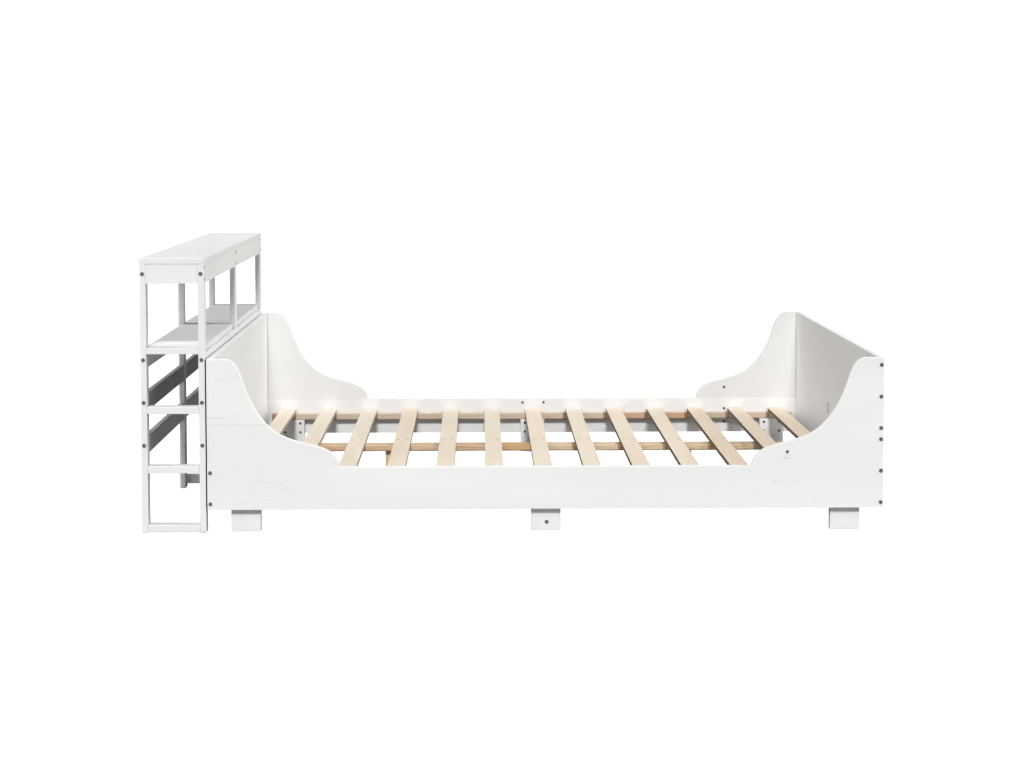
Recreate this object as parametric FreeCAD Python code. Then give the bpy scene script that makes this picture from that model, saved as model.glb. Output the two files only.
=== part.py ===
import FreeCAD, Part
import math
import os

# Bookcase headboard bed, millimetres. +Z up, floor at z = 0, origin under the centre of the whole object.
# -X is the head end with the bookcase, +X the foot end, -Y the near side.

V = FreeCAD.Vector
os.makedirs("parts", exist_ok=True)

# ---------------------------------------------------------------- driving dimensions
BED_X0, BED_X1 = -928.5, 1127.5      # outer ends of the bed
HALF_W = 828.0                       # half width over the side rails
BOARD = 18.0                         # thickness of rails, wings and end panels
RAIL_Z0, RAIL_Z1 = 70.0, 200.0       # side rail
WING_TOP = 529.0                     # top of wings, headboard and footboard
FOOT_SPLIT = 297.5                   # top of the lower footboard board
EASE = 1.5                           # rounding of the board edges

SLAT_N, SLAT_PITCH, SLAT_X_MID = 13, 155.1, 99.5
SLAT_W, SLAT_T, SLAT_L = 57.5, 15.5, 1612.0
LEDGER_Z0, LEDGER_Z1, LEDGER_D = 123.0, 146.5, 21.0
LEDGER_X0, LEDGER_X1 = -893.0, 1090.0
BEAM_W, BEAM_T = 70.0, 19.0          # centre beam, its top level with the ledgers
LAP_X0, LAP_X1 = 75.5, 123.5         # half-lap of the two beam halves, under the middle slat
LEG_W, LEG_T, LEG_H = 90.0, 25.0, 123.0
LEG_XS = (-813.5, 99.5, 1012.5)
LEG_NAMES = ("head", "middle", "foot")
CENTRE_LEG = 36.0
CENTRE_LEG_XS = (-406.4, 606.4)

CASE_X0, CASE_X1 = -1127.5, -932.5   # bookcase depth
CASE_TOP = 836.0
TOP_T = 17.5
POST_X, POST_Y = 19.0, 45.0
APRON_Z0, APRON_Z1 = 759.5, 818.5
CROSS_T = 18.0                       # bookcase boards
SHELF_Z0, SHELF_Z1 = 546.0, 564.0
SHELF_X0, SHELF_X1 = -1117.5, -942.5
BEARER_Z0, BEARER_Z1 = 502.0, 546.0
UPPER_Z0, UPPER_Z1 = 371.0, 424.5
LOWER_Z0, LOWER_Z1 = 240.0, 294.0
RUNGS = ((2.5, 24.5), (182.5, 204.0), (363.5, 385.0), (545.0, 564.0))

BOLT_R, BOLT_HOLE_R = 3.0, 3.5       # M6 connector bolt
HEAD_R, HEAD_H = 6.0, 2.0
NUT_R, NUT_L, NUT_SETBACK = 5.0, 13.0, 30.0
SCREW_R, SCREW_HEAD_R = 2.0, 4.2
DOWEL_R = 4.0
GAP = 0.05                           # clearance of screws and dowels in their holes

# Wing outline: distance from the end of the bed, height above the floor.
WING_EDGE = ((60.0, 529.0), (82.0, 518.5), (95.0, 499.0), (108.0, 467.0), (122.0, 429.0), (140.0, 389.0),
             (163.0, 352.5), (190.0, 322.0), (224.0, 298.0), (262.0, 282.0), (300.0, 271.5), (336.0, 262.5),
             (366.0, 251.0), (387.0, 233.5), (398.5, 215.0), (402.5, 200.0))

nodes = {}


# ---------------------------------------------------------------- helpers
def box(x0, x1, y0, y1, z0, z1):
    return Part.makeBox(x1 - x0, y1 - y0, z1 - z0, V(x0, y0, z0))


def eased(x0, x1, y0, y1, z0, z1, r=EASE):
    """A board with all its edges lightly rounded."""
    s = box(x0, x1, y0, y1, z0, z1)
    return s.makeFillet(r, s.Edges)


def cyl(p, d, r, length):
    return Part.makeCylinder(r, length, V(*p), V(*d))


def along(p, d, t):
    return (p[0] + d[0] * t, p[1] + d[1] * t, p[2] + d[2] * t)


def cut(s, tools):
    tools = [t for t in tools if t is not None]
    if not tools:
        return s
    out = s.cut(tools)
    sols = out.Solids
    if len(sols) != 1:
        raise RuntimeError("a cut left %d solids" % len(sols))
    return sols[0]


bolts, nuts, screws, dowels = [], [], [], []
cuts = {}                            # board name -> list of cutting tools


def drill(names, tool):
    for n in names:
        cuts.setdefault(n, []).append(tool)


def hexagon(p, d, across, depth):
    """A hexagonal socket: prism along the axis d (unit, along a row axis), starting at p."""
    r = across / math.sqrt(3.0)
    z = V(*d)
    u = V(0, 0, 1) if abs(d[2]) < 0.5 else V(1, 0, 0)
    w = z.cross(u)
    c = V(*p)
    pts = [c + u * (r * math.cos(math.radians(60 * k))) + w * (r * math.sin(math.radians(60 * k))) for k in range(6)]
    return Part.Face(Part.makePolygon(pts + [pts[0]])).extrude(z * depth)


def flange_bolt(p, d, length, through, into, nut_dir=None, nut_face=None):
    """Connector bolt: p on the outer face, d pointing into the wood. The barrel nut lies across the board
    it enters, NUT_SETBACK in from the joint, pushed in from the hidden face."""
    head = cyl(along(p, d, -HEAD_H), d, HEAD_R, HEAD_H)
    rim = [e for e in head.Edges if isinstance(e.Curve, Part.Circle)
           and (e.Curve.Center - V(*along(p, d, -HEAD_H))).Length < 1e-6]
    head = head.makeFillet(0.9, rim)
    shank = cyl(p, d, BOLT_R, length)
    b = head.fuse(shank).removeSplitter()
    b = b.cut(hexagon(along(p, d, -HEAD_H - 0.01), d, 4.6, 3.2)).Solids[0]
    bolts.append(b)
    drill(through + into, cyl(along(p, d, -0.01), d, BOLT_HOLE_R, length + 2.0))
    if nut_dir is not None:
        # nut_face: mouth of the nut's blind hole; the nut is pushed to the bottom of it
        nuts.append(cyl(along(nut_face, nut_dir, 1.5), nut_dir, NUT_R, NUT_L)
                    .cut(cyl(along(p, d, -1), d, BOLT_R + 0.05, length + 60)).Solids[0])
        drill(into, cyl(along(nut_face, nut_dir, -1.0), nut_dir, NUT_R + GAP, NUT_L + 2.5))


def flat_screw(p, d, length, names):
    """Countersunk wood screw: p on the face, head flush with it, point in direction d."""
    def body(g):
        head = Part.makeCone(SCREW_HEAD_R + g, SCREW_R + g, 2.6, V(*p), V(*d))
        rod = cyl(along(p, d, 2.59), d, SCREW_R + g, length - 2.59 - 4.0)
        tip = Part.makeCone(SCREW_R + g, 0.4, 4.0 + g, V(*along(p, d, length - 4.0)), V(*d))
        return head.fuse([rod, tip]).removeSplitter().Solids[0]
    s = body(0.0).cut([hexagon(along(p, d, -0.01), d, 2.2, 1.6)]).Solids[0]
    screws.append(s)
    drill(names, body(GAP))


def pan_screw(p, d, length, names, r=4.6, h=2.0):
    """Round-headed screw standing proud of the face at p, driven in direction d."""
    head = cyl(along(p, d, -h), d, r, h)
    rim = [e for e in head.Edges if isinstance(e.Curve, Part.Circle)
           and (e.Curve.Center - V(*along(p, d, -h))).Length < 1e-6]
    head = head.makeFillet(min(1.2, h * 0.7), rim)
    rod = cyl(along(p, d, -0.01), d, SCREW_R, length - 4.0 + 0.01)
    tip = Part.makeCone(SCREW_R, 0.4, 4.0, V(*along(p, d, length - 4.0)), V(*d))
    s = head.fuse([rod, tip]).removeSplitter().Solids[0]
    s = s.cut([hexagon(along(p, d, -h - 0.01), d, 3.0, 1.5)]).Solids[0]
    screws.append(s)
    hole = cyl(along(p, d, -0.02), d, SCREW_R + GAP, length - 4.0 + 0.02)
    point = Part.makeCone(SCREW_R + GAP, 0.4, 4.0 + GAP, V(*along(p, d, length - 4.0)), V(*d))
    drill(names, hole.fuse(point).removeSplitter().Solids[0])


def dowel(p, d, a, b, names, r=DOWEL_R):
    """Fluted-dowel stand-in: round pin across the joint at p, reaching a back and b forward along d."""
    s = cyl(along(p, d, -a), d, r, a + b)
    s = s.makeChamfer(0.8, [e for e in s.Edges if isinstance(e.Curve, Part.Circle)])
    dowels.append(s)
    drill(names, cyl(along(p, d, -a - 0.3), d, r + GAP, a + b + 0.6))


# ---------------------------------------------------------------- boards of the bed
boards = {}


def wing(end_x, sgn, y0, y1):
    """Scalloped wing. end_x is the end of the bed, sgn points along the bed away from it."""
    def P(t, z):
        return V(end_x + sgn * t, y0, z)
    curve = Part.BSplineCurve()
    curve.approximate(Points=[P(t, z) for t, z in WING_EDGE], DegMin=3, DegMax=5, Tolerance=0.8)
    a, b = P(*WING_EDGE[0]), P(*WING_EDGE[-1])
    ca, cb = curve.value(curve.FirstParameter), curve.value(curve.LastParameter)
    edges = [Part.LineSegment(P(0, RAIL_Z1), P(0, WING_TOP)).toShape(),
             Part.LineSegment(P(0, WING_TOP), ca).toShape(),
             curve.toShape(),
             Part.LineSegment(cb, P(0, RAIL_Z1)).toShape()]
    w = Part.Wire(Part.__sortEdges__(edges))
    s = Part.Face(w).extrude(V(0, y1 - y0, 0))
    if s.Volume < 0:
        s = s.reversed()
    s = s if s.ShapeType == "Solid" else s.Solids[0]
    # round the long front and back edges of the outline, not the glued foot of the wing
    sel = []
    for e in s.Edges:
        bb = e.BoundBox
        on_face = bb.YLength < 1e-3
        at_foot = bb.ZMax < RAIL_Z1 + 0.5
        if on_face and not at_foot:
            sel.append(e)
    return s.makeFillet(EASE, sel)


def rail(y0, y1):
    s = eased(BED_X0, BED_X1, y0, y1, RAIL_Z0, RAIL_Z1, 0.4)
    # the open stretch of the top edge, between the wings, is rounded like the wings
    xa, xb = BED_X0 + WING_EDGE[-1][0] - 1.0, BED_X1 - WING_EDGE[-1][0] + 1.0
    r = EASE
    tools = []
    for yy, sy in ((y0, 1.0), (y1, -1.0)):
        ya, yb = sorted((yy - 0.5 * sy, yy + r * sy))
        t = box(xa, xb, ya, yb, RAIL_Z1 - r, RAIL_Z1 + 0.5)
        t = t.cut(cyl((xa - 1, yy + r * sy, RAIL_Z1 - r), (1, 0, 0), r, xb - xa + 2))
        tools += t.Solids
    return cut(s, tools)


for side, sg in (("near", -1.0), ("far", 1.0)):
    y_out, y_in = sg * HALF_W, sg * (HALF_W - BOARD)
    ya, yb = min(y_out, y_in), max(y_out, y_in)
    boards["side_rail_" + side] = rail(ya, yb)
    boards["head_wing_" + side] = wing(BED_X0, 1.0, ya, yb)
    boards["foot_wing_" + side] = wing(BED_X1, -1.0, ya, yb)
    la, lb = sorted((y_in, sg * (HALF_W - BOARD - LEDGER_D)))
    boards["slat_ledger_" + side] = eased(LEDGER_X0, LEDGER_X1, la, lb, LEDGER_Z0, LEDGER_Z1, 1.5)
    ga, gb = sorted((y_in, sg * (HALF_W - BOARD - LEG_T)))
    for nm, lx in zip(LEG_NAMES, LEG_XS):
        boards["leg_%s_%s" % (nm, side)] = eased(lx - LEG_W / 2, lx + LEG_W / 2, ga, gb, 0.0, LEG_H, 2.0)

YI = HALF_W - BOARD
boards["head_lower_rail"] = eased(BED_X0, BED_X0 + BOARD, -YI, YI, RAIL_Z0, RAIL_Z1, 0.8)
boards["headboard_panel"] = eased(BED_X0, BED_X0 + BOARD, -YI, YI, RAIL_Z1, WING_TOP, 0.8)
boards["footboard_lower"] = eased(BED_X1 - BOARD, BED_X1, -YI, YI, RAIL_Z0, FOOT_SPLIT, 0.8)
boards["footboard_upper"] = eased(BED_X1 - BOARD, BED_X1, -YI, YI, FOOT_SPLIT, WING_TOP, 0.8)

slat_names = []
for i in range(1, SLAT_N + 1):
    cx = SLAT_X_MID + (i - (SLAT_N + 1) / 2.0) * SLAT_PITCH
    n = "slat_%02d" % i
    slat_names.append(n)
    boards[n] = eased(cx - SLAT_W / 2, cx + SLAT_W / 2, -SLAT_L / 2, SLAT_L / 2, LEDGER_Z1, LEDGER_Z1 + SLAT_T, 1.5)

BEAM_Z0, BEAM_Z1 = LEDGER_Z1 - BEAM_T, LEDGER_Z1
BEAM_MID = (BEAM_Z0 + BEAM_Z1) / 2
half = BEAM_W / 2
boards["centre_beam_head"] = cut(eased(BED_X0 + BOARD, LAP_X1, -half, half, BEAM_Z0, BEAM_Z1, 1.5),
                                 [box(LAP_X0, LAP_X1 + 1, -half - 1, half + 1, BEAM_MID, BEAM_Z1 + 1)])
boards["centre_beam_foot"] = cut(eased(LAP_X0 + 0.1, BED_X1 - BOARD, -half, half, BEAM_Z0, BEAM_Z1, 1.5),
                                 [box(LAP_X0 - 1, LAP_X1 + 0.1, -half - 1, half + 1, BEAM_Z0 - 1, BEAM_MID)])
for nm, cx in zip(("head", "foot"), CENTRE_LEG_XS):
    boards["centre_leg_" + nm] = eased(cx - CENTRE_LEG / 2, cx + CENTRE_LEG / 2, -CENTRE_LEG / 2, CENTRE_LEG / 2,
                                       0.0, BEAM_Z0, 2.0)

# ---------------------------------------------------------------- boards of the bookcase
FRONT_C = CASE_X1 - POST_X / 2       # middle of the front posts
BACK_C = CASE_X0 + POST_X / 2
frames = {"near": (-HALF_W, -HALF_W + POST_Y), "middle": (-POST_Y / 2, POST_Y / 2), "far": (HALF_W - POST_Y, HALF_W)}
for f, (ya, yb) in frames.items():
    boards["bookcase_post_back_" + f] = eased(CASE_X0, CASE_X0 + POST_X, ya, yb, 0.0, APRON_Z1, 1.5)
    boards["bookcase_post_front_" + f] = eased(CASE_X1 - POST_X, CASE_X1, ya, yb, 0.0, APRON_Z1, 1.5)

boards["bookcase_top_near"] = eased(CASE_X0, CASE_X1, -HALF_W, -0.15, APRON_Z1, CASE_TOP, 1.5)
boards["bookcase_top_far"] = eased(CASE_X0, CASE_X1, 0.15, HALF_W, APRON_Z1, CASE_TOP, 1.5)

XI0, XI1 = CASE_X0 + POST_X, CASE_X1 - POST_X    # clear depth between back and front posts
groups = {}                          # node -> list of board names that it holds


def member(node, name, shape):
    boards[name] = shape
    groups.setdefault(node, []).append(name)


member("bookcase_cross_aprons", "cross_apron_near", eased(XI0, XI1, -HALF_W, -HALF_W + CROSS_T, APRON_Z0, APRON_Z1, 1.2))
member("bookcase_cross_aprons", "cross_apron_middle", eased(XI0, XI1, -CROSS_T / 2, CROSS_T / 2, APRON_Z0, APRON_Z1, 1.2))
member("bookcase_cross_aprons", "cross_apron_far", eased(XI0, XI1, HALF_W - CROSS_T, HALF_W, APRON_Z0, APRON_Z1, 1.2))

LEVELS = (("apron", APRON_Z0, APRON_Z1), ("bearer", BEARER_Z0, BEARER_Z1),
          ("upper", UPPER_Z0, UPPER_Z1), ("lower", LOWER_Z0, LOWER_Z1))
NODE_OF = {("apron", "front"): "bookcase_front_aprons", ("apron", "back"): "bookcase_back_aprons",
           ("bearer", "front"): "bookcase_shelf_bearers", ("bearer", "back"): "bookcase_shelf_bearers",
           ("upper", "front"): "bookcase_front_cross_boards", ("lower", "front"): "bookcase_front_cross_boards",
           ("upper", "back"): "bookcase_back_cross_boards", ("lower", "back"): "bookcase_back_cross_boards"}
for lv, z0, z1 in LEVELS:
    for pl, xc in (("front", FRONT_C), ("back", BACK_C)):
        for half, ya, yb in (("near", -HALF_W + POST_Y, -POST_Y / 2), ("far", POST_Y / 2, HALF_W - POST_Y)):
            member(NODE_OF[(lv, pl)], "%s_%s_%s" % (lv, pl, half),
                   eased(xc - CROSS_T / 2, xc + CROSS_T / 2, ya, yb, z0, z1, 1.5))

boards["bookcase_shelf_near"] = eased(SHELF_X0, SHELF_X1, -HALF_W + POST_Y + 0.3, -27.0, SHELF_Z0, SHELF_Z1, 1.5)
boards["bookcase_shelf_far"] = eased(SHELF_X0, SHELF_X1, 27.0, HALF_W - POST_Y - 0.3, SHELF_Z0, SHELF_Z1, 1.5)

for f in ("near", "far"):
    ya, yb = frames[f]
    for k, (z0, z1) in enumerate(RUNGS, 1):
        member("bookcase_rungs_" + f, "rung_%s_%d" % (f, k), eased(XI0, XI1, ya, yb, z0, z1, 1.5))
boards["bookcase_middle_bearer"] = eased(XI0, XI1, -CROSS_T / 2, CROSS_T / 2, BEARER_Z0, BEARER_Z1, 1.2)
boards["bookcase_middle_bottom_rail"] = eased(XI0, XI1, -10.0, 10.0, 15.0, 45.0, 1.5)

# ---------------------------------------------------------------- fasteners of the bed
for side, sg in (("near", -1.0), ("far", 1.0)):
    d = (0.0, -sg, 0.0)
    face, inner = sg * HALF_W, sg * YI
    # side rail to lower head rail
    for z in (88.0, 183.0):
        x = BED_X0 + BOARD / 2
        flange_bolt((x, face, z), d, BOARD + NUT_SETBACK + 10, ["side_rail_" + side], ["head_lower_rail"],
                    (1.0, 0.0, 0.0), (BED_X0, inner - sg * NUT_SETBACK, z))
    # side rail and foot wing to the footboard
    for z in (86.5, 183.0, 279.5, 313.5, 410.0, 506.5):
        x = BED_X1 - BOARD / 2
        plate = "side_rail_" + side if z < RAIL_Z1 else "foot_wing_" + side
        panel = "footboard_lower" if z < FOOT_SPLIT else "footboard_upper"
        flange_bolt((x, face, z), d, BOARD + NUT_SETBACK + 10, [plate], [panel],
                    (-1.0, 0.0, 0.0), (BED_X1, inner - sg * NUT_SETBACK, z))
    # headboard panel to head wing
    for z in (260.0, 360.0, 470.0):
        dowel((BED_X0 + BOARD / 2, inner, z), d, 11.0, 22.0, ["head_wing_" + side, "headboard_panel"])
    # wings to the rail
    for t in (60.0, 200.0, 340.0):
        dowel((BED_X0 + t, sg * (HALF_W - BOARD / 2), RAIL_Z1), (0, 0, 1), 20.0, 20.0,
              ["side_rail_" + side, "head_wing_" + side])
        dowel((BED_X1 - t, sg * (HALF_W - BOARD / 2), RAIL_Z1), (0, 0, 1), 20.0, 20.0,
              ["side_rail_" + side, "foot_wing_" + side])
    # small through connector of the foot wing, seen on both its faces
    pan_screw((833.4, face, 242.0), d, BOARD - 1.0, ["foot_wing_" + side], 4.6, 1.6)
    cap_p = (833.4, inner, 242.0)
    # inner face: screws of the rail
    dd = (0.0, sg, 0.0)
    for x, z in ((62.4, 185.0), (142.9, 185.0), (833.4, 160.0), (833.4, 109.0)):
        pan_screw((x, inner, z), dd, 14.0, ["side_rail_" + side], 4.6, 1.8)
    # ledger to rail
    for k in range(7):
        x = LEDGER_X0 + 70.0 + k * (LEDGER_X1 - LEDGER_X0 - 140.0) / 6.0
        flat_screw((x, inner - sg * LEDGER_D, (LEDGER_Z0 + LEDGER_Z1) / 2), dd, LEDGER_D + 14.0,
                   ["slat_ledger_" + side, "side_rail_" + side])
    # legs to rail
    for nm, lx in zip(LEG_NAMES, LEG_XS):
        leg = "leg_%s_%s" % (nm, side)
        for dx in (-29.0, 29.0):
            for z in (76.5, 110.5):
                pan_screw((lx + dx, inner - sg * LEG_T, z), dd, LEG_T + 13.0, [leg, "side_rail_" + side], 4.6, 2.0)
    # foot bolt of the middle leg, seen below the rail
    flange_bolt((102.0, inner, 27.0), d, LEG_T - 3.0, ["leg_middle_" + side], [])

# inner cap of the foot wing connectors
for side, sg in (("near", -1.0), ("far", 1.0)):
    inner = sg * YI
    cap = cyl((833.4, inner, 242.0), (0, -sg, 0), 4.6, 1.6)
    rim = [e for e in cap.Edges if isinstance(e.Curve, Part.Circle)
           and abs(e.Curve.Center.y - (inner - sg * 1.6)) < 1e-6]
    screws.append(cap.makeFillet(1.0, rim))

# head and foot boards, one above the other
for y in (-600.0, -200.0, 200.0, 600.0):
    dowel((BED_X0 + BOARD / 2, y, RAIL_Z1), (0, 0, 1), 20.0, 20.0, ["head_lower_rail", "headboard_panel"])
    dowel((BED_X1 - BOARD / 2, y, FOOT_SPLIT), (0, 0, 1), 20.0, 20.0, ["footboard_lower", "footboard_upper"])

# slats to the centre beam, two screws side by side in each
for i, n in enumerate(slat_names, 1):
    cx = SLAT_X_MID + (i - (SLAT_N + 1) / 2.0) * SLAT_PITCH
    for dx in (-15.5, 15.5):
        x = cx + dx
        if LAP_X0 < x < LAP_X1:
            b = ["centre_beam_head", "centre_beam_foot"]
        else:
            b = ["centre_beam_head"] if x < LAP_X0 else ["centre_beam_foot"]
        flat_screw((x, 0.0, LEDGER_Z1 + SLAT_T), (0, 0, -1), 30.0, [n] + b)

# ends of the centre beam, from outside through the head rail and the footboard
for y in (-20.0, 20.0):
    flat_screw((BED_X0, y, BEAM_MID), (1, 0, 0), 58.0, ["head_lower_rail", "centre_beam_head"])
    flat_screw((BED_X1, y, BEAM_MID), (-1, 0, 0), 58.0, ["footboard_lower", "centre_beam_foot"])
# centre legs, on two dowels each under the beam
for nm, cx in zip(("head", "foot"), CENTRE_LEG_XS):
    for y in (-9.0, 9.0):
        dowel((cx, y, BEAM_Z0), (0, 0, 1), 26.0, 12.0, ["centre_beam_" + nm, "centre_leg_" + nm])

# ---------------------------------------------------------------- fasteners of the bookcase
BOLT_Z = {"apron": 789.0, "bearer": 528.0, "upper": 398.0, "lower": 267.5}
for lv, z0, z1 in LEVELS:
    for pl, xc in (("front", FRONT_C), ("back", BACK_C)):
        for side, sg in (("near", -1.0), ("far", 1.0)):
            z = BOLT_Z[lv]
            post = "bookcase_post_%s_%s" % (pl, side)
            bd = "%s_%s_%s" % (lv, pl, side)
            end = sg * (HALF_W - POST_Y)
            d = (0.0, -sg, 0.0)
            flange_bolt((xc, sg * HALF_W, z), d, POST_Y + NUT_SETBACK + 8, [post], [bd],
                        (1.0, 0.0, 0.0), (xc - CROSS_T / 2, end - sg * NUT_SETBACK, z))
            # locating dowel beside the bolt
            off = -14.0 if lv != "apron" else -19.0
            dowel((xc, end, z + off), d, 20.0, 20.0, [post, bd])
            # both halves to the middle post
            mid = "bookcase_post_%s_middle" % pl
            for zz in (z0 + 0.27 * (z1 - z0), z0 + 0.73 * (z1 - z0)):
                dowel((xc, sg * POST_Y / 2, zz), (0.0, sg, 0.0), 14.0, 22.0, [mid, bd])

# screws from the front posts into the cross members, and the same at the back
for f, yy, apron in (("near", -HALF_W + CROSS_T / 2, "cross_apron_near"), ("middle", 0.0, "cross_apron_middle"),
                     ("far", HALF_W - CROSS_T / 2, "cross_apron_far")):
    for z in (808.0, 772.0):
        pan_screw((CASE_X1, yy, z), (-1, 0, 0), POST_X + 26.0, ["bookcase_post_front_" + f, apron], 4.2, 1.6)
        flat_screw((CASE_X0, yy, z), (1, 0, 0), POST_X + 26.0, ["bookcase_post_back_" + f, apron])
for z, name in ((527.0, "bookcase_middle_bearer"), (30.0, "bookcase_middle_bottom_rail")):
    pan_screw((CASE_X1, 0.0, z), (-1, 0, 0), POST_X + 26.0, ["bookcase_post_front_middle", name], 4.2, 1.6)
    flat_screw((CASE_X0, 0.0, z), (1, 0, 0), POST_X + 26.0, ["bookcase_post_back_middle", name])

# rungs to posts
for f in ("near", "far"):
    ya, yb = frames[f]
    yc = (ya + yb) / 2
    for k, (z0, z1) in enumerate(RUNGS, 1):
        zc = (z0 + z1) / 2
        for dy in (-12.0, 12.0):
            dowel((XI0, yc + dy, zc), (1, 0, 0), 12.0, 20.0, ["bookcase_post_back_" + f, "rung_%s_%d" % (f, k)], 3.0)
            dowel((XI1, yc + dy, zc), (-1, 0, 0), 12.0, 20.0, ["bookcase_post_front_" + f, "rung_%s_%d" % (f, k)], 3.0)

# top boards, on dowels in the front and back aprons
for side, sg in (("near", -1.0), ("far", 1.0)):
    for pl, xc in (("front", FRONT_C), ("back", BACK_C)):
        for y in (160.0, 420.0, 680.0):
            dowel((xc, sg * y, APRON_Z1), (0, 0, 1), 20.0, 10.0, ["bookcase_top_" + side, "apron_%s_%s" % (pl, side)])

# shelf boards, on dowels in the bearers
for side, sg in (("near", -1.0), ("far", 1.0)):
    for xc in (SHELF_X0 + 4.6, SHELF_X1 - 4.6):
        pl = "front" if xc > (CASE_X0 + CASE_X1) / 2 else "back"
        for y in (200.0, 640.0):
            dowel((xc, sg * y, SHELF_Z0), (0, 0, 1), 14.0, 10.0, ["bookcase_shelf_" + side, "bearer_%s_%s" % (pl, side)], 2.5)

# ---------------------------------------------------------------- cut the holes, gather the nodes
grouped = {m: node for node, ms in groups.items() for m in ms}
for name, shape in boards.items():
    near_tools = [t for t in cuts.get(name, []) if t.BoundBox.intersect(shape.BoundBox)]
    shape = shape if shape.ShapeType == "Solid" else shape.Solids[0]
    s = cut(shape, near_tools)
    node = grouped.get(name, name)
    nodes.setdefault(node, []).append(s)
nodes["connector_bolts"] = bolts
nodes["barrel_nuts"] = nuts
nodes["wood_screws"] = screws
nodes["wooden_dowels"] = dowels

total = None
for node, solids in nodes.items():
    for s in solids:
        if not s.isValid() or s.Volume <= 0:
            raise RuntimeError("%s holds a bad solid" % node)
    shape = solids[0] if len(solids) == 1 else Part.makeCompound(solids)
    shape.exportStep("parts/%s.step" % node)
    bb = shape.BoundBox
    print("%-30s %3d solids  X %8.1f %8.1f  Y %8.1f %8.1f  Z %7.1f %7.1f" %
          (node, len(solids), bb.XMin, bb.XMax, bb.YMin, bb.YMax, bb.ZMin, bb.ZMax))
print(len(nodes), "nodes")
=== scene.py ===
import math
import random

import bpy
from mathutils import Matrix, Vector

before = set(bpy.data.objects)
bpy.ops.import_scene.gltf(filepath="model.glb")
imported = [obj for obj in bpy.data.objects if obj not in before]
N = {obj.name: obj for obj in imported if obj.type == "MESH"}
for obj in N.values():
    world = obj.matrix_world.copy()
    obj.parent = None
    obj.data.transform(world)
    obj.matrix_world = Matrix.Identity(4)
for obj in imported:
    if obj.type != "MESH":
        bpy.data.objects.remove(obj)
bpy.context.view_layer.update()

scene = bpy.context.scene


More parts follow.
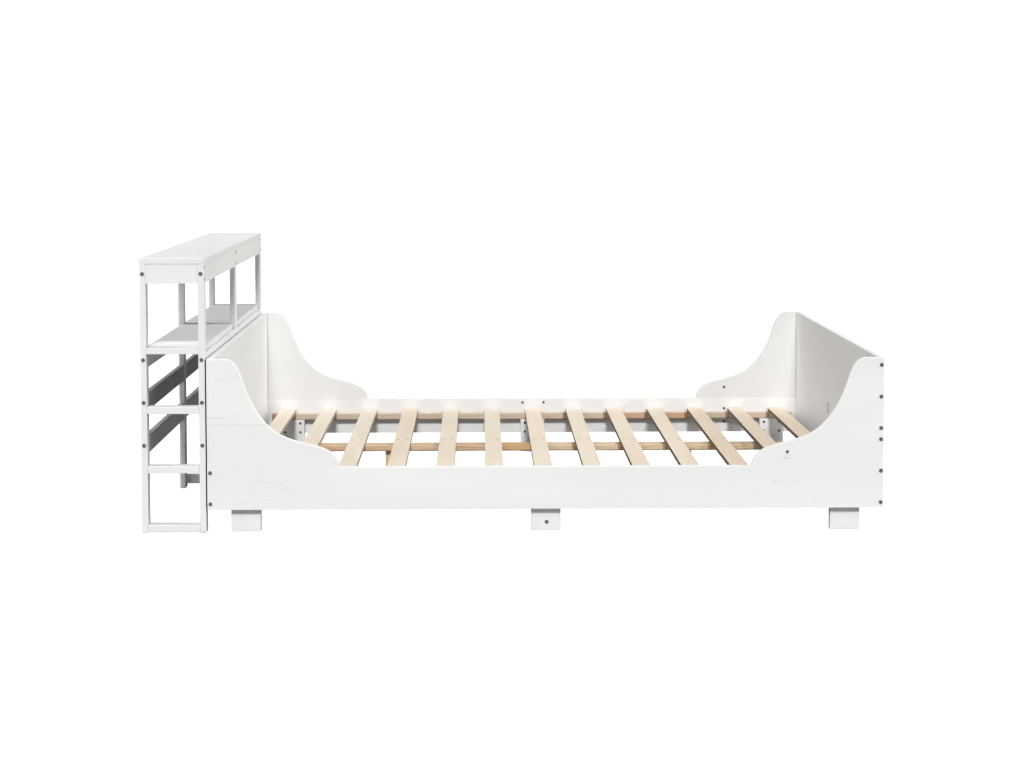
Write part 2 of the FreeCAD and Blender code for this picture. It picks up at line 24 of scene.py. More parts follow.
# ---------------------------------------------------------------- node helpers
class Tree:
    """A small builder for one node material."""

    def __init__(self, name):
        self.mat = bpy.data.materials.new(name)
        self.mat.use_nodes = True
        self.nt = self.mat.node_tree
        self.nt.nodes.clear()
        self.out = self.nt.nodes.new("ShaderNodeOutputMaterial")
        self.bsdf = self.nt.nodes.new("ShaderNodeBsdfPrincipled")
        self.nt.links.new(self.bsdf.outputs[0], self.out.inputs[0])

    def put(self, socket, value):
        if isinstance(value, bpy.types.NodeSocket):
            self.nt.links.new(value, socket)
        elif value is not None:
            socket.default_value = value

    def math(self, op, a, b=None, c=None, clamp=False):
        n = self.nt.nodes.new("ShaderNodeMath")
        n.operation = op
        n.use_clamp = clamp
        for i, v in enumerate((a, b, c)):
            if v is not None:
                self.put(n.inputs[i], v)
        return n.outputs[0]

    def add(self, a, b):
        return self.math("ADD", a, b)

    def sub(self, a, b):
        return self.math("SUBTRACT", a, b)

    def mul(self, a, b):
        return self.math("MULTIPLY", a, b)

    def step(self, v, lo, hi, to0=0.0, to1=1.0, smooth=True):
        n = self.nt.nodes.new("ShaderNodeMapRange")
        n.interpolation_type = "SMOOTHSTEP" if smooth else "LINEAR"
        self.put(n.inputs["Value"], v)
        n.inputs["From Min"].default_value = lo
        n.inputs["From Max"].default_value = hi
        n.inputs["To Min"].default_value = to0
        n.inputs["To Max"].default_value = to1
        return n.outputs["Result"]

    def xyz(self):
        c = self.nt.nodes.new("ShaderNodeTexCoord")
        s = self.nt.nodes.new("ShaderNodeSeparateXYZ")
        self.nt.links.new(c.outputs["Object"], s.inputs[0])
        return s.outputs[0], s.outputs[1], s.outputs[2]

    def vec(self, x, y, z):
        n = self.nt.nodes.new("ShaderNodeCombineXYZ")
        for i, v in enumerate((x, y, z)):
            self.put(n.inputs[i], v)
        return n.outputs[0]

    def noise(self, v, scale=1.0, detail=2.0, rough=0.5, distort=0.0):
        n = self.nt.nodes.new("ShaderNodeTexNoise")
        self.put(n.inputs["Vector"], v)
        n.inputs["Scale"].default_value = scale
        n.inputs["Detail"].default_value = detail
        n.inputs["Roughness"].default_value = rough
        n.inputs["Distortion"].default_value = distort
        return n.outputs["Fac"]

    def cell(self, v, scale=1.0, randomness=1.0):
        n = self.nt.nodes.new("ShaderNodeTexVoronoi")
        self.put(n.inputs["Vector"], v)
        n.inputs["Scale"].default_value = scale
        n.inputs["Randomness"].default_value = randomness
        return n.outputs["Distance"], n.outputs["Color"]

    def white(self, w):
        n = self.nt.nodes.new("ShaderNodeTexWhiteNoise")
        n.noise_dimensions = "1D"
        self.put(n.inputs["W"], w)
        return n.outputs["Value"]

    def mix(self, fac, a, b):
        n = self.nt.nodes.new("ShaderNodeMix")
        n.data_type = "RGBA"
        self.put(n.inputs[0], fac)
        self.put(n.inputs[6], a)
        self.put(n.inputs[7], b)
        return n.outputs[2]

    def ramp(self, fac, stops):
        n = self.nt.nodes.new("ShaderNodeValToRGB")
        self.put(n.inputs[0], fac)
        el = n.color_ramp.elements
        while len(el) < len(stops):
            el.new(0.5)
        for e, (p, c) in zip(el, stops):
            e.position, e.color = p, (*c, 1.0)
        return n.outputs[0]

    def bump(self, height, strength, distance):
        n = self.nt.nodes.new("ShaderNodeBump")
        n.inputs["Strength"].default_value = strength
        n.inputs["Distance"].default_value = distance
        self.put(n.inputs["Height"], height)
        return n.outputs[0]

    def edge(self, radius):
        """1 on a sharp edge, 0 on the flat: how far the bevelled normal leaves the true one."""
        b = self.nt.nodes.new("ShaderNodeBevel")
        b.samples = 4
        b.inputs["Radius"].default_value = radius
        g = self.nt.nodes.new("ShaderNodeNewGeometry")
        d = self.nt.nodes.new("ShaderNodeVectorMath")
        d.operation = "DOT_PRODUCT"
        self.nt.links.new(b.outputs[0], d.inputs[0])
        self.nt.links.new(g.outputs["Normal"], d.inputs[1])
        return self.step(d.outputs["Value"], 0.995, 0.86)


def window(t, v, lo, hi, soft):
    """1 between lo and hi, falling off over soft outside them."""
    return t.mul(t.step(v, lo - soft, lo + soft * 0.2), t.step(v, hi + soft, hi - soft * 0.2))


def local_marks(t, g, a, b, spots):
    """Marks that belong to one place of one board. Each is (kind, axis, from, to, axis, from, to, strength): "line" is
    a single brush line, "strokes" a patch of short ones, "slit" a sharp dark line of painted shade where two parts
    meet."""
    p = dict(zip("XYZ", t.xyz()))
    out, sharp = None, None
    for i, (kind, ax0, lo0, hi0, ax1, lo1, hi1, power) in enumerate(spots):
        if kind == "knot":                       # a dark oval ring: centre and half size along each axis
            u = t.math("DIVIDE", t.sub(p[ax0], lo0), hi0)
            v = t.math("DIVIDE", t.sub(p[ax1], lo1), hi1)
            d = t.math("SQRT", t.add(t.mul(u, u), t.mul(v, v)))
            m = t.mul(t.math("MAXIMUM", window(t, d, 0.80, 1.0, 0.12), t.mul(t.step(d, 1.0, 0.9), 0.35)), power)
            m = t.mul(m, t.step(p["X"], 1.122, 1.114))      # it doesn't come through to the outer face
            sharp = m if sharp is None else t.math("MAXIMUM", sharp, m)
            continue
        m = t.mul(window(t, p[ax0], lo0, hi0, {"line": 0.010, "strokes": 0.008, "slit": 0.0012}[kind]),
                  window(t, p[ax1], lo1, hi1, {"line": 0.0012, "strokes": 0.008, "slit": 0.0012}[kind]))
        if kind == "strokes":
            n = t.noise(t.vec(t.mul(g, 26.0), t.mul(a, 170.0), t.mul(b, 170.0)), 1.0, 1.5, 0.5, 0.8)
            m = t.mul(m, t.step(n, 0.56, 0.66))
        elif kind == "line":
            n = t.noise(t.vec(t.mul(g, 16.0 + i), t.mul(a, 12.0), t.mul(b, 12.0)), 1.0, 2.0, 0.6)
            m = t.mul(m, t.step(n, 0.34, 0.56))
        m = t.mul(m, power)
        if kind == "slit":
            sharp = m if sharp is None else t.math("MAXIMUM", sharp, m)
        else:
            out = m if out is None else t.math("MAXIMUM", out, m)
    return out, sharp


def grain_space(t, axis, seed, plank=None):
    """(g, a, b): along the grain, across it, and across the other way. plank=(cross axis, first edge, width)
    gives every glued plank its own piece of grain; its third value is the distance to the nearest glue line."""
    x, y, z = t.xyz()
    g, a, b = {"X": (x, z, y), "Y": (y, z, x), "Z": (z, x, y)}[axis]
    r = random.Random(seed)
    shift = (r.uniform(3, 9), r.uniform(3, 9), r.uniform(3, 9))
    line = None
    pick = 0.5
    if plank:
        cross, first, width = plank
        c = {"X": x, "Y": y, "Z": z}[cross]
        u = t.math("DIVIDE", t.sub(c, first), width)
        idx = t.math("FLOOR", u)
        pick = t.white(t.add(idx, shift[0]))
        g = t.add(g, t.mul(pick, 7.0))
        b = t.add(b, t.mul(t.white(t.add(idx, shift[1] + 31.0)), 3.0))
        line = t.mul(t.math("ABSOLUTE", t.sub(u, t.math("ROUND", u))), width)
    g = t.add(g, shift[0])
    return g, t.add(a, shift[1]), t.add(b, shift[2]), line, pick


def rings(t, g, a, b, spacing, wander):
    """Growth rings of a log whose heart lies beside the board: cathedral figure on the face, arcs on the ends."""
    warp = t.noise(t.vec(t.mul(g, 1.1), t.mul(a, 5.0), t.mul(b, 5.0)), 1.0, 2.0, 0.5)
    warp2 = t.noise(t.vec(t.mul(g, 5.5), t.mul(a, 16.0), t.mul(b, 16.0)), 1.0, 2.0, 0.5)
    # distance from the heart, which repeats every 0.31 m across so that every board has one near it
    fa = t.mul(t.sub(t.math("FRACT", t.math("DIVIDE", a, 0.31)), 0.5), 0.31)
    fb = t.add(t.mul(t.sub(t.math("FRACT", t.math("DIVIDE", b, 0.27)), 0.5), 0.27), 0.02)
    r2 = t.add(t.mul(fa, fa), t.mul(fb, fb))
    rad = t.math("SQRT", r2)
    rad = t.add(rad, t.add(t.mul(warp, wander), t.mul(warp2, wander * 0.22)))
    ph = t.math("FRACT", t.math("DIVIDE", rad, spacing))
    # early wood rises slowly, late wood ends sharply
    up = t.step(ph, 0.0, 0.78)
    down = t.step(ph, 0.86, 1.0, 1.0, 0.0)
    return t.mul(up, down)


def knots(t, g, a, b, size, keep, across=4.2, along=2.0):
    """(core, ring, dist) of the few knots of a board, stretched a little along the grain."""
    d, col = t.cell(t.vec(t.mul(g, along), t.mul(a, across), t.mul(b, across * 0.7)), 1.0, 0.9)
    s = t.nt.nodes.new("ShaderNodeSeparateColor")
    t.nt.links.new(col, s.inputs[0])
    on = t.step(s.outputs[0], keep, keep + 0.02)
    wob = t.mul(t.noise(t.vec(t.mul(g, 60.0), t.mul(a, 60.0), t.mul(b, 60.0)), 1.0, 2.0, 0.6), size * 0.5)
    dd = t.add(d, wob)
    core = t.mul(on, t.step(dd, size * 1.25, size * 0.75))
    halo = t.mul(on, t.step(dd, size * 3.2, size * 1.1))
    return core, halo, dd


def white_paint(name, axis, seed, plank=None, glue=0.0, tone=1.0, knot_keep=0.80, marks=1.0, figure=1.0, relief=1.0,
                painted_shade=0.45, reach=0.012, shade_above=None, spots=()):
    """Satin white paint over pine: the grain reads through as fine relief, knots as faint shadows. painted_shade is how
    far the paint darkens, as painted shade, where boards meet or face each other within reach, only from the height
    shade_above upwards when that is given; tone makes the piece's paint lighter or darker, as painted light and shade;
    spots are marks at one place only."""
    t = Tree(name)
    g, a, b, line, pick = grain_space(t, axis, seed, plank)
    fibre = t.noise(t.vec(t.mul(g, 9.0), t.mul(a, 420.0), t.mul(b, 420.0)), 1.0, 3.0, 0.55)
    streak = t.noise(t.vec(t.mul(g, 3.0), t.mul(a, 75.0), t.mul(b, 75.0)), 1.0, 3.0, 0.6)
    ring = rings(t, g, a, b, 0.0075, 0.045)
    core, halo, _ = knots(t, g, a, b, 0.045, knot_keep)
    broad = t.noise(t.vec(t.mul(g, 1.3), t.mul(a, 6.0), t.mul(b, 6.0)), 1.0, 2.0, 0.5)
    # short brushy marks where the grain opens
    mk = t.noise(t.vec(t.mul(g, 13.0), t.mul(a, 110.0), t.mul(b, 110.0)), 1.0, 2.5, 0.62)
    where = t.noise(t.vec(t.mul(g, 4.0), t.mul(a, 9.0), t.mul(b, 9.0)), 1.0, 1.0, 0.5)
    mark = t.mul(t.step(mk, 0.62, 0.76), t.step(where, 0.50, 0.66))
    edge = t.edge(0.0022)
    wear_n = t.noise(t.vec(t.mul(g, 22.0), t.mul(a, 60.0), t.mul(b, 60.0)), 1.0, 3.0, 0.65)
    wear = t.mul(edge, t.step(wear_n, 0.42, 0.68))
    k = tone
    base = t.mix(t.step(broad, 0.32, 0.70), (0.800 * k, 0.800 * k, 0.795 * k, 1), (0.838 * k, 0.836 * k, 0.828 * k, 1))
    col = t.mix(t.mul(ring, 0.10 * figure), base, (0.765 * k, 0.755 * k, 0.735 * k, 1))
    col = t.mix(t.mul(t.step(streak, 0.50, 0.80), 0.12 * figure), col, (0.745 * k, 0.735 * k, 0.715 * k, 1))
    col = t.mix(t.mul(mark, 0.34 * marks), col, (0.60 * k, 0.585 * k, 0.56 * k, 1))
    col = t.mix(t.mul(halo, 0.14), col, (0.74 * k, 0.715 * k, 0.67 * k, 1))
    col = t.mix(t.mul(core, 0.34), col, (0.62 * k, 0.585 * k, 0.52 * k, 1))
    height = t.add(t.mul(ring, 0.50), t.add(t.mul(fibre, 0.34), t.mul(streak, 0.30)))
    height = t.sub(height, t.add(t.mul(core, 0.45), t.mul(mark, 0.55)))
    if line is not None:
        part = t.noise(t.vec(t.mul(g, 3.4), t.mul(a, 0.5), 0.0), 1.0, 2.0, 0.6)
        seam = t.mul(t.step(line, 0.0015, 0.0003), t.step(part, 0.40, 0.58))
        col = t.mix(t.mul(seam, glue), col, (0.43, 0.42, 0.40, 1))
        height = t.sub(height, t.mul(seam, 1.4))
    if spots:
        brushed, slit = local_marks(t, g, a, b, spots)
        if brushed is not None:
            col = t.mix(brushed, col, (0.56, 0.545, 0.53, 1))
            height = t.sub(height, t.mul(brushed, 0.8))
        # slit carries the knot rings and the lines of painted shade where parts meet, both mixed towards near-black
        if slit is not None:
            col = t.mix(slit, col, (0.16, 0.145, 0.13, 1))
            height = t.sub(height, t.mul(slit, 2.0))
    col = t.mix(t.mul(wear, 0.38), col, (0.70, 0.665, 0.60, 1))
    # painted shade: where the ambient occlusion within reach is strong, in corners, gaps and between facing boards, the
    # paint is mixed towards near-black
    if painted_shade:
        ao = t.nt.nodes.new("ShaderNodeAmbientOcclusion")
        ao.samples = 8
        ao.inputs["Distance"].default_value = reach
        painted_shade_mask = t.mul(t.step(ao.outputs["AO"], 0.72, 0.16, smooth=False), painted_shade)
        if shade_above is not None:
            painted_shade_mask = t.mul(painted_shade_mask, t.step(t.xyz()[2], shade_above, shade_above + 0.01))
        col = t.mix(painted_shade_mask, col, (0.10, 0.098, 0.097, 1))
    t.put(t.bsdf.inputs["Base Color"], col)
    rough = t.add(0.40, t.add(t.mul(fibre, 0.10), t.mul(broad, 0.08)))
    rough = t.add(rough, t.add(t.mul(wear, 0.20), t.mul(mark, 0.12)))
    t.put(t.bsdf.inputs["Roughness"], rough)
    t.bsdf.inputs["IOR"].default_value = 1.46
    t.put(t.bsdf.inputs["Normal"], t.bump(height, 0.26 * relief, 0.00045))
    return t.mat


def pine(name, axis, seed, early, late, knot_keep=0.86, ring_mm=5.2, end_dark=0.82, rough0=0.52, plank=None, figure=1.0,
         side_shade=None, stains_and_shadows=()):
    """Bare planed pine: cream early wood, darker late wood lines, resin streaks, a few brown knots. side_shade gives
    the share of light left on the two long edges (-X, +X), as painted shade on those side faces; stains_and_shadows are
    stretches of the board with another colour, some real staining of the wood and some painted shadows."""
    t = Tree(name)
    g, a, b, line, pick = grain_space(t, axis, seed, plank)
    ring = rings(t, g, a, b, ring_mm / 1000.0, 0.055)
    fibre = t.noise(t.vec(t.mul(g, 10.0), t.mul(a, 520.0), t.mul(b, 520.0)), 1.0, 3.0, 0.6)
    pore = t.noise(t.vec(t.mul(g, 26.0), t.mul(a, 900.0), t.mul(b, 900.0)), 1.0, 2.0, 0.6)
    broad = t.noise(t.vec(t.mul(g, 1.6), t.mul(a, 9.0), t.mul(b, 9.0)), 1.0, 2.0, 0.55)
    resin = t.noise(t.vec(t.mul(g, 5.0), t.mul(a, 95.0), t.mul(b, 95.0)), 1.0, 2.0, 0.6)
    core, halo, dd = knots(t, g, a, b, 0.052, knot_keep, across=6.0, along=2.3)
    kr = t.math("SINE", t.mul(dd, 260.0))
    e2 = tuple(v * 0.93 for v in early)
    base = t.mix(t.step(broad, 0.30, 0.72), (*early, 1), (e2[0], e2[1] * 0.985, e2[2] * 0.95, 1))
    col = t.mix(t.mul(ring, 0.55 * figure), base, (*late, 1))
    col = t.mix(t.mul(t.step(fibre, 0.52, 0.80), 0.18 * figure), col, (late[0] * 0.93, late[1] * 0.90, late[2] * 0.86, 1))
    col = t.mix(t.mul(t.step(resin, 0.64, 0.80), 0.26 * figure), col, (late[0] * 0.90, late[1] * 0.82, late[2] * 0.70, 1))
    col = t.mix(t.mul(halo, 0.40), col, (late[0] * 0.95, late[1] * 0.82, late[2] * 0.66, 1))
    kc = t.mix(t.mul(t.add(kr, 1.0), 0.5), (0.36, 0.20, 0.10, 1), (0.50, 0.31, 0.17, 1))
    col = t.mix(t.mul(core, 0.80), col, kc)
    for along, lo, hi, tint in stains_and_shadows:
        c = dict(zip("XYZ", t.xyz()))[along]
        soft = min(0.012, 0.25 * (hi - lo))
        wav = t.mul(t.sub(t.noise(t.vec(t.mul(g, 9.0), t.mul(a, 60.0), t.mul(b, 60.0)), 1.0, 2.0, 0.6), 0.5), 4.0 * soft)
        m = window(t, t.add(c, wav), lo, hi, soft)
        mt = t.nt.nodes.new("ShaderNodeMix")
        mt.data_type, mt.blend_type = "RGBA", "MULTIPLY"
        t.put(mt.inputs[0], m)
        t.put(mt.inputs[6], col)
        mt.inputs[7].default_value = (*tint, 1)
        col = mt.outputs[2]
    # the two long side faces are darkened as painted shade, and end grain drinks more light and reads darker
    geo = t.nt.nodes.new("ShaderNodeNewGeometry")
    sn = t.nt.nodes.new("ShaderNodeSeparateXYZ")
    t.nt.links.new(geo.outputs["Normal"], sn.inputs[0])
    if side_shade:
        for lo, hi, keep in ((-0.80, -0.97, side_shade[0]), (0.80, 0.97, side_shade[1])):
            col = t.mix(t.mul(t.step(sn.outputs[0], lo, hi), 1.0 - keep), col, (0.10, 0.062, 0.034, 1))
    endm = t.step(t.math("ABSOLUTE", sn.outputs["XYZ".index(axis)]), 0.7, 0.95)
    col = t.mix(t.mul(endm, 1.0 - end_dark), col, (late[0] * 0.55, late[1] * 0.45, late[2] * 0.34, 1))
    edge = t.edge(0.0018)
    col = t.mix(t.mul(edge, t.mul(t.step(pore, 0.35, 0.65), 0.30)), col, (late[0] * 0.78, late[1] * 0.70, late[2] * 0.58, 1))
    t.put(t.bsdf.inputs["Base Color"], col)
    t.put(t.bsdf.inputs["Roughness"], t.add(rough0, t.add(t.mul(fibre, 0.16), t.mul(ring, -0.06))))
    t.bsdf.inputs["IOR"].default_value = 1.45
    height = t.add(t.mul(ring, 0.42), t.add(t.mul(fibre, 0.42), t.mul(pore, 0.20)))
    height = t.add(height, t.mul(core, 0.35))
    t.put(t.bsdf.inputs["Normal"], t.bump(height, 0.42, 0.00040))
    return t.mat


def steel(name, dark, lit, metallic, rough0):
    """Plated fastener: fine turning marks, rubbed bright on the rim of the head and the socket."""
    t = Tree(name)
    x, y, z = t.xyz()
    n = t.noise(t.vec(t.mul(x, 900.0), t.mul(y, 900.0), t.mul(z, 900.0)), 1.0, 3.0, 0.6)
    m = t.noise(t.vec(t.mul(x, 160.0), t.mul(y, 160.0), t.mul(z, 160.0)), 1.0, 2.0, 0.6)
    edge = t.edge(0.0006)
    rub = t.mul(edge, t.step(m, 0.34, 0.62))
    col = t.mix(t.step(m, 0.35, 0.7), (*dark, 1), (*[v * 1.35 for v in dark], 1))
    col = t.mix(t.mul(rub, 0.75), col, (*lit, 1))
    t.put(t.bsdf.inputs["Base Color"], col)
    t.bsdf.inputs["Metallic"].default_value = metallic
    t.put(t.bsdf.inputs["Roughness"], t.add(rough0, t.mul(n, 0.20)))
    t.put(t.bsdf.inputs["Normal"], t.bump(n, 0.15, 0.00006))
    return t.mat


def give(node, mat):
    me = N[node].data
    me.materials.clear()
    me.materials.append(mat)
    for p in me.polygons:
        p.material_index = 0


# ---------------------------------------------------------------- finishes
X_HEAD, X_FOOT = -0.9105, 1.1095                 # inner faces of the headboard and the footboard
SPOTS = {
    "head_wing_near": (("strokes", "X", -0.902, -0.815, "Z", 0.440, 0.500, 0.20),
                       ("line", "X", -0.925, -0.855, "Z", 0.3500, 0.3520, 0.34),
                       ("line", "X", -0.925, -0.748, "Z", 0.3290, 0.3305, 0.34),
                       ("line", "X", -0.925, -0.760, "Z", 0.2035, 0.2050, 0.26)),
    "side_rail_near": (("strokes", "X", -0.800, -0.680, "Z", 0.126, 0.176, 0.22),
                       ("strokes", "X", 0.790, 0.876, "Z", 0.136, 0.172, 0.34),
                       ("strokes", "X", -0.900, -0.700, "Z", 0.080, 0.110, 0.16)),
    "foot_wing_near": (("strokes", "X", 0.806, 0.850, "Z", 0.206, 0.232, 0.42),
                       ("strokes", "X", 0.985, 1.060, "Z", 0.330, 0.372, 0.12)),
    # the far wings' slits are painted shade in the corner where each wing meets its end board
    "head_wing_far": (("slit", "X", X_HEAD - 0.001, X_HEAD + 0.0014, "Z", 0.20, 0.531, 0.42),),
    "foot_wing_far": (("slit", "X", X_FOOT - 0.0014, X_FOOT + 0.001, "Z", 0.20, 0.531, 0.48),),
    "footboard_upper": (("line", "Y", -0.10, 0.30, "Z", 0.452, 0.4535, 0.14),),
    "footboard_lower": (("knot", "Y", 0.081, 0.021, "Z", 0.255, 0.0185, 0.75),),
    # the cross aprons' slit is painted shade in the joint under the top board
    "cross_aprons": (("slit", "X", -1.20, -0.90, "Z", 0.8166, 0.8192, 0.30),),
}
# painted shadow of each slat on the ledger and beam, beside the head-side edge of each slat towards the foot
SLAT_SHADE = tuple(("X", 0.0995 + 0.1551 * n - 0.03825, 0.0995 + 0.1551 * n - 0.02725, (0.42, 0.36, 0.31))
                   for n in range(1, 7))
# every tone value below makes that piece's paint lighter or darker, as painted light and shade on that piece
for i, s in enumerate(("near", "far")):
    give("side_rail_" + s, white_paint("paint_rail_" + s, "X", 11 + i, tone=(1.02, 1.02)[i], spots=SPOTS.get("side_rail_" + s, ())))
    give("head_wing_" + s, white_paint("paint_head_wing_" + s, "X", 21 + i, spots=SPOTS["head_wing_" + s],
                                       tone=(1.02, 0.94)[i]))
    give("foot_wing_" + s, white_paint("paint_foot_wing_" + s, "X", 31 + i, spots=SPOTS["foot_wing_" + s],
                                       tone=(1.03, 0.925)[i]))
    for j, nm in enumerate(("head", "middle", "foot")):
        # legs: painted shade where they meet the rail, strong on the near legs and only from 47 mm height upwards
        give("leg_%s_%s" % (nm, s), white_paint("paint_leg_%s_%s" % (nm, s), "Z", 41 + 5 * i + j, painted_shade=(0.9, 0.45)[i], reach=0.03, shade_above=0.047))
    # ledger: the Z band from 0.1215 to 0.1262 is painted shade along its bottom edge, and SLAT_SHADE adds the slats'
    # painted shadows
    give("slat_ledger_" + s, pine("pine_ledger_" + s, "X", 51 + i, (0.675, 0.565, 0.46), (0.53, 0.39, 0.28), 0.74,
                                     stains_and_shadows=(("X", -0.91, -0.872, (0.62, 0.42, 0.34)), ("X", 0.452, 0.530, (0.95, 0.80, 0.70)),
                                             ("X", 0.618, 0.700, (0.95, 0.76, 0.60)), ("X", 0.774, 0.850, (0.88, 0.90, 0.86)),
                                             ("X", -0.28, -0.20, (0.97, 0.92, 0.86)),
                                             ("Z", 0.1215, 0.1262, (0.62, 0.54, 0.47))) + SLAT_SHADE))
    give("bookcase_top_" + s, white_paint("paint_top_" + s, "Y", 61 + i, figure=0.6, relief=0.4, tone=0.975))
    give("bookcase_shelf_" + s, white_paint("paint_shelf_" + s, "Y", 66 + i, figure=0.8, relief=0.6, tone=1.03))
    give("bookcase_rungs_" + s, white_paint("paint_rungs_" + s, "X", 71 + i))
give("head_lower_rail", white_paint("paint_head_rail", "Y", 81, tone=1.02))
# headboard: stronger painted shade where other parts meet it
give("headboard_panel", white_paint("paint_headboard", "Y", 82, tone=1.02, figure=0.8, painted_shade=0.6))
give("footboard_lower", white_paint("paint_footboard_lower", "Y", 83, tone=1.05, spots=SPOTS["footboard_lower"]))
give("footboard_upper", white_paint("paint_footboard_upper", "Y", 84, tone=1.03, spots=SPOTS["footboard_upper"]))
# posts: painted shade where parts meet them, over a wide reach on the middle and far back posts
for j, f in enumerate(("near", "middle", "far")):
    give("bookcase_post_front_" + f, white_paint("paint_post_front_" + f, "Z", 91 + j, painted_shade=(0.9, 0.45, 0.45)[j], reach=0.015))
    give("bookcase_post_back_" + f, white_paint("paint_post_back_" + f, "Z", 95 + j, painted_shade=(0.45, 0.5, 0.4)[j],
                                               reach=(0.012, 0.30, 0.30)[j]))
for j, n in enumerate(("bookcase_front_aprons", "bookcase_back_aprons", "bookcase_shelf_bearers")):
    give(n, white_paint("paint_" + n, "Y", 101 + j))
# cross boards inside the bookcase: almost full painted shade over a wide reach
for j, n in enumerate(("bookcase_front_cross_boards", "bookcase_back_cross_boards")):
    give(n, white_paint("paint_" + n, "Y", 104 + j, painted_shade=0.95, reach=0.30))
for j, n in enumerate(("bookcase_cross_aprons", "bookcase_middle_bearer", "bookcase_middle_bottom_rail")):
    give(n, white_paint("paint_" + n, "X", 111 + j, tone=(1.035, 1.0, 1.0)[j], spots=(SPOTS["cross_aprons"], (), ())[j]))

# slats 1, 2, 12 and 13 beside the headboard and footboard are darkened, and 4 and 11 lightened, as painted light and
# shade on those slats
SLAT_TONE = {1: 0.84, 2: 0.94, 4: 1.04, 11: 1.03, 12: 0.94, 13: 0.86}
tone = random.Random(5)
for i in range(1, 14):
    w = tone.uniform(-1, 1)
    k = SLAT_TONE.get(i, 1.0)
    early = ((0.862 + 0.012 * w) * k, (0.772 + 0.016 * w) * k, (0.655 + 0.022 * w) * k)
    late = ((0.790 + 0.015 * w) * k, (0.650 + 0.02 * w) * k, (0.500 + 0.02 * w) * k)
    if i > 10:                                   # the three slats at the foot end are a little yellower
        early = (early[0], early[1] * 0.965, early[2] * 0.915)
        late = (late[0], late[1] * 0.965, late[2] * 0.915)
    give("slat_%02d" % i, pine("pine_slat_%02d" % i, "Y", 200 + i * 7, early, late, 0.86, tone.uniform(4.2, 6.4), figure=0.8,
                                  side_shade=(0.10, 0.50)))
# head half of the centre beam: the Z band from 0.126 to 0.1306 is painted shade along its bottom edge
give("centre_beam_head", pine("pine_centre_beam_head", "X", 301, (0.75, 0.575, 0.385), (0.60, 0.385, 0.20), 0.80, side_shade=None,
                              stains_and_shadows=(("X", -0.05, 0.075, (0.88, 0.76, 0.58)), ("X", -0.26, -0.08, (0.92, 0.86, 0.86)),
                                      ("X", -0.91, -0.62, (0.90, 0.84, 0.74)),
                                      ("Z", 0.1260, 0.1306, (0.50, 0.42, 0.36)))))
# foot half of the centre beam: the X stretch from 0.80 to 1.11 is painted shadow at the foot end, the Z band painted
# shade along the bottom edge, and SLAT_SHADE the slats' painted shadows
give("centre_beam_foot", pine("pine_centre_beam_foot", "X", 302, (0.76, 0.61, 0.43), (0.61, 0.43, 0.26), 0.84,
                              stains_and_shadows=(("X", 0.80, 1.11, (0.74, 0.72, 0.68)), ("X", 0.66, 0.80, (0.90, 0.84, 0.76)),
                                      ("Z", 0.1260, 0.1306, (0.50, 0.42, 0.36))) + SLAT_SHADE))
for i, n in enumerate(("centre_leg_head", "centre_leg_foot")):
    give(n, pine("pine_" + n, "Z", 311 + i, (0.77, 0.61, 0.44), (0.65, 0.46, 0.29), 0.88))

GREY = steel("grey_steel", (0.155, 0.155, 0.158), (0.52, 0.52, 0.52), 0.35, 0.36)
ZINC = steel("zinc_steel", (0.46, 0.46, 0.45), (0.75, 0.75, 0.74), 1.0, 0.30)
give("connector_bolts", GREY)
give("wood_screws", steel("dark_steel", (0.085, 0.085, 0.088), (0.40, 0.40, 0.40), 0.35, 0.36))
give("barrel_nuts", ZINC)
give("wooden_dowels", pine("beech_dowels", "Z", 401, (0.74, 0.58, 0.40), (0.64, 0.46, 0.29), 0.99))

# ---------------------------------------------------------------- floor, light, camera
DOME = 0.01
GLOSS = 0.31
FLOOR_GLOW = 1.0
LAMPS = (("key_lamp", 0.0, 43.0, 0.865, 11.0), ("left_lamp", -60.0, 35.0, 0.350, 20.0),
         ("left_low", -88.0, 17.0, 0.130, 20.0), ("right_high", 90.0, 38.0, 0.410, 14.0),
         ("right_low", 84.0, 12.0, 0.394, 20.0))
floor_mesh = bpy.data.meshes.new("studio_floor")
S = 80.0
floor_mesh.from_pydata([(-S, -S, 0), (S, -S, 0), (S, S, 0), (-S, S, 0)], [], [(0, 1, 2, 3)])
floor = bpy.data.objects.new("studio_floor", floor_mesh)
scene.collection.objects.link(floor)
ft = Tree("studio_floor_paint")
fx, fy, fz = ft.xyz()
fn = ft.noise(ft.vec(ft.mul(fx, 2.0), ft.mul(fy, 2.0), 0.0), 1.0, 3.0, 0.5)
seen = ft.nt.nodes.new("ShaderNodeLightPath").outputs["Is Camera Ray"]
ft.put(ft.bsdf.inputs["Base Color"], ft.mix(fn, (0.325, 0.325, 0.325, 1), (0.335, 0.335, 0.335, 1)))
ft.put(ft.bsdf.inputs["Roughness"], ft.add(0.85, ft.mul(fn, 0.1)))
ft.bsdf.inputs["Specular IOR Level"].default_value = 0.0
ft.bsdf.inputs["Emission Color"].default_value = (1.0, 1.0, 1.0, 1.0)
ft.put(ft.bsdf.inputs["Emission Strength"], ft.mul(seen, FLOOR_GLOW))
floor_mesh.materials.append(ft.mat)

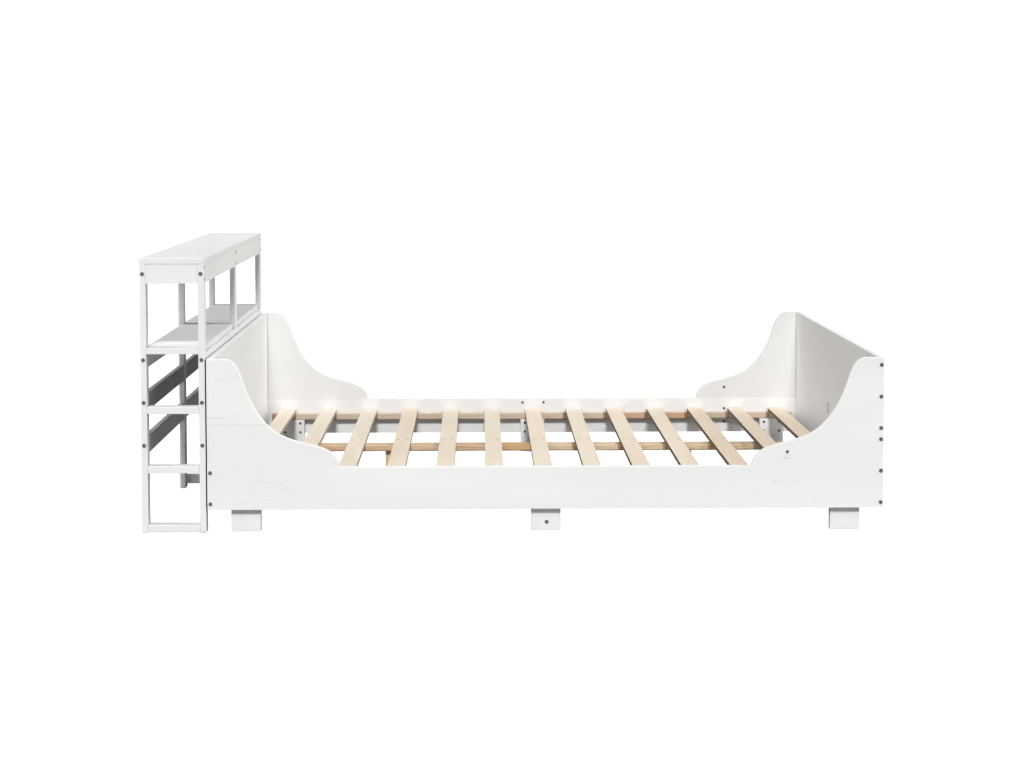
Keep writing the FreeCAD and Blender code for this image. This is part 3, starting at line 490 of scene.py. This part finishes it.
# plain white surroundings, dimmer as a source of light than they look or mirror
world = bpy.data.worlds.new("studio")
scene.world = world
world.use_nodes = True
wt = world.node_tree
wt.nodes.clear()
wo = wt.nodes.new("ShaderNodeOutputWorld")
wb = wt.nodes.new("ShaderNodeBackground")
wl = wt.nodes.new("ShaderNodeLightPath")
mr = wt.nodes.new("ShaderNodeMapRange")
wt.links.new(wl.outputs["Is Camera Ray"], mr.inputs["Value"])
mr.inputs["To Min"].default_value = DOME
mr.inputs["To Max"].default_value = 1.05
mg = wt.nodes.new("ShaderNodeMath")
mg.operation = "MULTIPLY_ADD"
wt.links.new(wl.outputs["Is Glossy Ray"], mg.inputs[0])
mg.inputs[1].default_value = GLOSS
wt.links.new(mr.outputs["Result"], mg.inputs[2])
wt.links.new(mg.outputs[0], wb.inputs["Strength"])
wb.inputs["Color"].default_value = (1.0, 1.0, 1.0, 1.0)
wt.links.new(wb.outputs[0], wo.inputs[0])


def lamp(name, azimuth, elevation, strength, spread):
    """A distant soft lamp. Azimuth 0 stands in front (-Y), 90 to the right (+X)."""
    d = bpy.data.lights.new(name, "SUN")
    d.energy = strength * math.pi
    d.angle = math.radians(spread)
    o = bpy.data.objects.new(name, d)
    az, el = math.radians(azimuth), math.radians(elevation)
    away = Vector((math.sin(az) * math.cos(el), -math.cos(az) * math.cos(el), math.sin(el)))
    o.location = away * 10.0
    o.rotation_mode = "QUATERNION"
    o.rotation_quaternion = away.to_track_quat("Z", "Y")
    scene.collection.objects.link(o)


for args in LAMPS:
    lamp(*args)

cam = bpy.data.cameras.new("camera")
camo = bpy.data.objects.new("camera", cam)
scene.collection.objects.link(camo)
scene.camera = camo
F_PX, CX, CY = 2080.31, 498.93, 260.94
cam.sensor_width = 36.0
cam.lens = 36.0 * F_PX / 1024.0
cam.shift_x = (512.0 - CX) / 1024.0
cam.shift_y = -(384.0 - CY) / 1024.0
cam.clip_start, cam.clip_end = 0.1, 400.0
yaw, pitch, roll = -0.0094, -0.06, 0.0023
right = Vector((math.cos(yaw), math.sin(yaw), 0.0))
ahead = Vector((-math.sin(yaw), math.cos(yaw), 0.0))
fwd = ahead * math.cos(pitch) + Vector((0, 0, 1)) * math.sin(pitch)
up = right.cross(fwd)
# the photograph's level lines rise slightly to the right
r2 = right * math.cos(roll) - up * math.sin(roll)
u2 = right * math.sin(roll) + up * math.cos(roll)
camo.matrix_world = Matrix(((r2.x, u2.x, -fwd.x, -0.1007719),
                            (r2.y, u2.y, -fwd.y, -7.0957384),
                            (r2.z, u2.z, -fwd.z, 1.2018182),
                            (0, 0, 0, 1)))

scene.view_settings.view_transform = "Standard"
scene.view_settings.look = "None"
